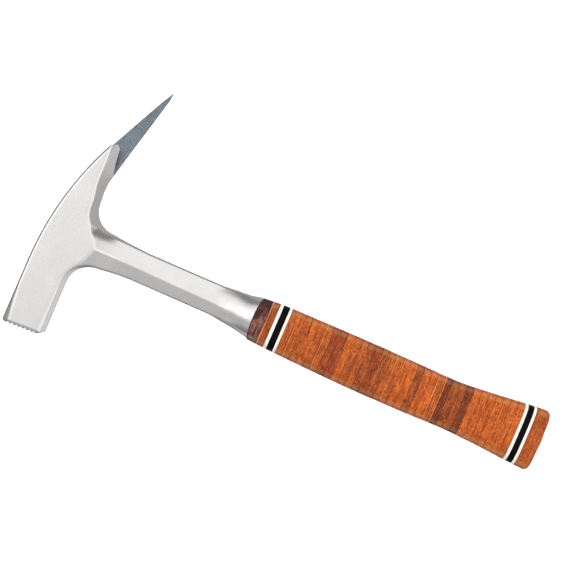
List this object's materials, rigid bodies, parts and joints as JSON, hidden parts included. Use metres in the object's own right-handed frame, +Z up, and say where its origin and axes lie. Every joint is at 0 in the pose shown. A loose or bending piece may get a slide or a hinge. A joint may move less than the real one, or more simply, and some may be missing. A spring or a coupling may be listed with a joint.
{
  "type": "hammer",
  "caption": "Forged steel hammer with a square milled poll, a side claw prong beside a long spike, and a stacked leather washer grip with light and dark spacer rings.",
  "frame": {"origin": "centre of the bounding box in plan, at the lowest point, with the hammer lying on its side", "axes": "+X along the handle from the head to the butt, +Y from the striking face to the spike, +Z up through the thickness"},
  "size_m": [0.3174, 0.1629, 0.0256],
  "materials": {
    "forging": "ground and satin polished forged steel",
    "first_washer": "dark purple-brown lacquered leather",
    "front_leather": "lacquered edge of a tan leather washer",
    "front_ring_a_white": "smooth off-white plastic",
    "front_ring_b_black": "smooth black plastic",
    "front_ring_c_white": "smooth off-white plastic",
    "leather_01": "lacquered edge of a tan leather washer",
    "leather_02": "lacquered edge of a tan leather washer",
    "leather_03": "lacquered edge of a tan leather washer",
    "leather_04": "lacquered edge of a tan leather washer",
    "leather_05": "lacquered edge of a tan leather washer",
    "leather_06": "lacquered edge of a tan leather washer",
    "leather_07": "lacquered edge of a tan leather washer",
    "leather_08": "lacquered edge of a tan leather washer",
    "leather_09": "lacquered edge of a tan leather washer",
    "leather_10": "lacquered edge of a tan leather washer",
    "leather_11": "lacquered edge of a tan leather washer",
    "leather_12": "lacquered edge of a tan leather washer",
    "leather_13": "lacquered edge of a tan leather washer",
    "leather_14": "lacquered edge of a tan leather washer",
    "leather_15": "lacquered edge of a tan leather washer",
    "leather_16": "lacquered edge of a tan leather washer",
    "leather_17": "lacquered edge of a tan leather washer",
    "leather_18": "lacquered edge of a tan leather washer",
    "leather_19": "lacquered edge of a tan leather washer",
    "leather_20": "lacquered edge of a tan leather washer",
    "leather_21": "lacquered edge of a tan leather washer",
    "leather_22": "lacquered edge of a tan leather washer",
    "leather_23": "lacquered edge of a tan leather washer",
    "leather_24": "lacquered edge of a tan leather washer",
    "leather_25": "lacquered edge of a tan leather washer",
    "leather_26": "lacquered edge of a tan leather washer",
    "leather_27": "lacquered edge of a tan leather washer",
    "leather_28": "lacquered edge of a tan leather washer",
    "leather_29": "lacquered edge of a tan leather washer",
    "leather_30": "lacquered edge of a tan leather washer",
    "leather_31": "lacquered edge of a tan leather washer",
    "leather_32": "lacquered edge of a tan leather washer",
    "leather_33": "lacquered edge of a tan leather washer",
    "rear_ring_a_white": "smooth off-white plastic",
    "rear_ring_b_black": "smooth black plastic",
    "rear_ring_c_white": "smooth off-white plastic",
    "end_leather": "lacquered edge of a tan leather washer",
    "end_washer": "ground and satin polished forged steel"
  },
  "bodies": {
    "root": {"forging": "forging", "first_washer": "first_washer", "front_leather": "front_leather", "front_ring_a_white": "front_ring_a_white", "front_ring_b_black": "front_ring_b_black", "front_ring_c_white": "front_ring_c_white", "leather_01": "leather_01", "leather_02": "leather_02", "leather_03": "leather_03", "leather_04": "leather_04", "leather_05": "leather_05", "leather_06": "leather_06", "leather_07": "leather_07", "leather_08": "leather_08", "leather_09": "leather_09", "leather_10": "leather_10", "leather_11": "leather_11", "leather_12": "leather_12", "leather_13": "leather_13", "leather_14": "leather_14", "leather_15": "leather_15", "leather_16": "leather_16", "leather_17": "leather_17", "leather_18": "leather_18", "leather_19": "leather_19", "leather_20": "leather_20", "leather_21": "leather_21", "leather_22": "leather_22", "leather_23": "leather_23", "leather_24": "leather_24", "leather_25": "leather_25", "leather_26": "leather_26", "leather_27": "leather_27", "leather_28": "leather_28", "leather_29": "leather_29", "leather_30": "leather_30", "leather_31": "leather_31", "leather_32": "leather_32", "leather_33": "leather_33", "rear_ring_a_white": "rear_ring_a_white", "rear_ring_b_black": "rear_ring_b_black", "rear_ring_c_white": "rear_ring_c_white", "end_leather": "end_leather", "end_washer": "end_washer"}
  },
  "joints": []
}
